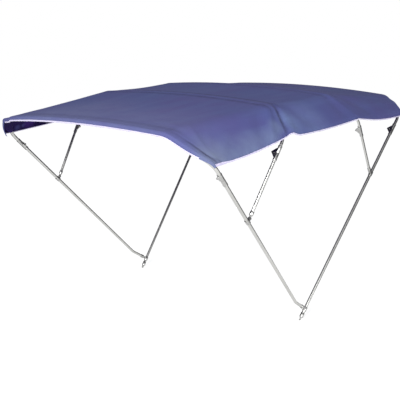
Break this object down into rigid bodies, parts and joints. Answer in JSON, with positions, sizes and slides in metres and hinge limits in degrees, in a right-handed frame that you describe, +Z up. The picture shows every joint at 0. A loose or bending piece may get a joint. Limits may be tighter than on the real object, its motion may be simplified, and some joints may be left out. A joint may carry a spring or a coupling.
{
  "type": "bimini top and frame",
  "caption": "Canvas sun top for a boat, stretched over bent steel bows that stand on hinged legs with jaw slides.",
  "frame": {"origin": "midway between the lower ends of the two feet", "axes": "+X runs aft along the boat, from the low front end of the top, +Y to the far side, +Z up"},
  "size_m": [2.5705, 1.9394, 1.6072],
  "materials": {
    "canvas": "navy acrylic canvas, plain weave, slightly faded",
    "canvas_under": "dark underside of the same canvas",
    "tape": "pale woven binding tape",
    "tube": "bright polished stainless tube",
    "fitting": "satin cast stainless fitting",
    "pin": "bright turned stainless pin"
  },
  "bodies": {
    "root": {"canopy": "canvas", "pocket_1": "canvas_under", "pocket_2": "canvas_under", "pocket_3": "canvas_under", "pocket_4": "canvas_under", "binding_front": "tape", "binding_aft": "tape", "binding_side_near": "tape", "binding_side_far": "tape", "bow_1_arch": "tube", "bow_1_leg_near": "tube", "bow_1_knuckle_top_near": "fitting", "bow_1_knuckle_low_near": "fitting", "bow_1_eye_near": "fitting", "bow_1_jaw_near": "fitting", "bow_1_pin_near": "pin", "bow_1_leg_far": "tube", "bow_1_knuckle_top_far": "fitting", "bow_1_knuckle_low_far": "fitting", "bow_1_eye_far": "fitting", "bow_1_jaw_far": "fitting", "bow_1_pin_far": "pin", "bow_2_arch": "tube", "bow_2_leg_near": "tube", "bow_2_knuckle_top_near": "fitting", "bow_2_knuckle_low_near": "fitting", "bow_2_eye_near": "fitting", "bow_2_jaw_near": "fitting", "bow_2_pin_near": "pin", "bow_2_leg_far": "tube", "bow_2_knuckle_top_far": "fitting", "bow_2_knuckle_low_far": "fitting", "bow_2_eye_far": "fitting", "bow_2_jaw_far": "fitting", "bow_2_pin_far": "pin", "bow_3_arch": "tube", "bow_3_leg_near": "tube", "bow_3_knuckle_top_near": "fitting", "bow_3_knuckle_low_near": "fitting", "bow_3_eye_near": "fitting", "bow_3_jaw_near": "fitting", "bow_3_pin_near": "pin", "bow_3_leg_far": "tube", "bow_3_knuckle_top_far": "fitting", "bow_3_knuckle_low_far": "fitting", "bow_3_eye_far": "fitting", "bow_3_jaw_far": "fitting", "bow_3_pin_far": "pin", "bow_4_arch": "tube", "bow_4_leg_near": "tube", "bow_4_knuckle_top_near": "fitting", "bow_4_knuckle_low_near": "fitting", "bow_4_leg_far": "tube", "bow_4_knuckle_top_far": "fitting", "bow_4_knuckle_low_far": "fitting", "foot_eye_near": "fitting", "foot_eye_far": "fitting"}
  },
  "joints": []
}
